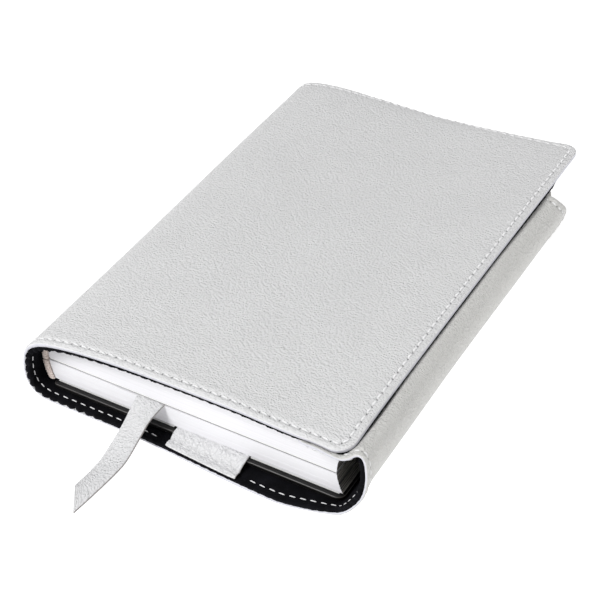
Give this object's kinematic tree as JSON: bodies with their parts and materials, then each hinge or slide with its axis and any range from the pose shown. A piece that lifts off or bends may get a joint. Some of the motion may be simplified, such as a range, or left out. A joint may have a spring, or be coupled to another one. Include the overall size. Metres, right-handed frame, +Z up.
{
  "type": "prayer book",
  "caption": "Small book in a stitched leather wrap cover with a tucked fore-edge flap, board straps and a ribbon marker; the cover, pages, flap and ribbon move.",
  "frame": {"origin": "middle of the back cover's resting face", "axes": "+X from the spine to the fore edge, +Y from the tail to the head, +Z up, out of the front cover"},
  "size_m": [0.1234, 0.2131, 0.0316],
  "materials": {
    "white_leather": "satin",
    "flap_leather": "satin",
    "ribbon_leather": "satin",
    "black_suede": "matte",
    "white_thread": "matte",
    "paper": "matte",
    "black_board": "satin",
    "spine_cloth": "matte"
  },
  "bodies": {
    "root": {"back_leather": "white_leather", "back_lining": "black_suede", "back_seam": "white_thread", "back_strap": "white_leather", "back_strap_seam": "white_thread", "back_board": "black_board", "back_endpaper": "paper", "lower_pages": "paper", "lower_spine_cloth": "spine_cloth", "lower_bands": "spine_cloth", "ribbon_inner": "ribbon_leather"},
    "spine": {"spine_leather": "white_leather", "spine_lining": "black_suede"},
    "front_cover": {"front_leather": "white_leather", "front_lining": "black_suede", "front_seam": "white_thread", "front_strap": "white_leather", "front_board": "black_board"},
    "flyleaf_body": {"flyleaf": "paper"},
    "upper_pages_body": {"upper_pages": "paper", "upper_spine_cloth": "spine_cloth", "upper_bands": "spine_cloth"},
    "leaf_3_body": {"leaf_3": "paper"},
    "leaf_2_body": {"leaf_2": "paper"},
    "leaf_1_body": {"leaf_1": "paper"},
    "flap_wall": {"flap_wall_leather": "flap_leather", "flap_wall_lining": "black_suede"},
    "flap_tongue": {"flap_tongue_leather": "flap_leather", "flap_tongue_lining": "black_suede", "flap_seam": "white_thread"},
    "ribbon": {"ribbon_tail": "ribbon_leather"}
  },
  "joints": [
    {"name": "front_cover_open", "type": "hinge", "parent": "spine", "child": "front_cover", "pos_m": [-0.0525, 0, 0.0253], "axis": [0, -1, 0], "range_deg": [0, 90]},
    {"name": "spine_fold", "type": "hinge", "parent": "root", "child": "spine", "pos_m": [-0.0545, 0, 0.0042], "axis": [0, -1, 0], "range_deg": [0, 90]},
    {"name": "flyleaf_turn", "type": "hinge", "parent": "root", "child": "flyleaf_body", "pos_m": [-0.0555, 0, 0.01245], "axis": [0, -1, 0], "range_deg": [0, 145.8]},
    {"name": "upper_pages_turn", "type": "hinge", "parent": "root", "child": "upper_pages_body", "pos_m": [-0.0555, 0, 0.01245], "axis": [0, -1, 0], "range_deg": [0, 144]},
    {"name": "leaf_3_turn", "type": "hinge", "parent": "root", "child": "leaf_3_body", "pos_m": [-0.0555, 0, 0.01245], "axis": [0, -1, 0], "range_deg": [0, 126]},
    {"name": "leaf_2_turn", "type": "hinge", "parent": "root", "child": "leaf_2_body", "pos_m": [-0.0555, 0, 0.01245], "axis": [0, -1, 0], "range_deg": [0, 90]},
    {"name": "leaf_1_turn", "type": "hinge", "parent": "root", "child": "leaf_1_body", "pos_m": [-0.0555, 0, 0.01245], "axis": [0, -1, 0], "range_deg": [0, 45]},
    {"name": "flap_open", "type": "hinge", "parent": "flap_wall", "child": "flap_tongue", "pos_m": [0.0635, 0, 0.0265], "axis": [0, 1, 0], "range_deg": [0, 140], "deforming": ["flap_tongue_leather", "flap_tongue_lining", "flap_seam"]},
    {"name": "flap_fold", "type": "hinge", "parent": "root", "child": "flap_wall", "pos_m": [0.053, 0, 0.0007], "axis": [0, 1, 0], "range_deg": [0, 25]},
    {"name": "ribbon_lift", "type": "hinge", "parent": "root", "child": "ribbon", "pos_m": [-0.014, -0.083, 0.01215], "axis": [-1, 0, 0], "range_deg": [0, 40]}
  ],
  "couplings": [
    {"joint": "spine_fold", "follows": "front_cover_open", "ratio": 1},
    {"joint": "flyleaf_turn", "follows": "front_cover_open", "ratio": 1.62},
    {"joint": "upper_pages_turn", "follows": "front_cover_open", "ratio": 1.6},
    {"joint": "leaf_3_turn", "follows": "front_cover_open", "ratio": 1.4},
    {"joint": "leaf_2_turn", "follows": "front_cover_open", "ratio": 1},
    {"joint": "leaf_1_turn", "follows": "front_cover_open", "ratio": 0.5},
    {"joint": "flap_fold", "follows": "flap_open", "ratio": 0.17857}
  ]
}
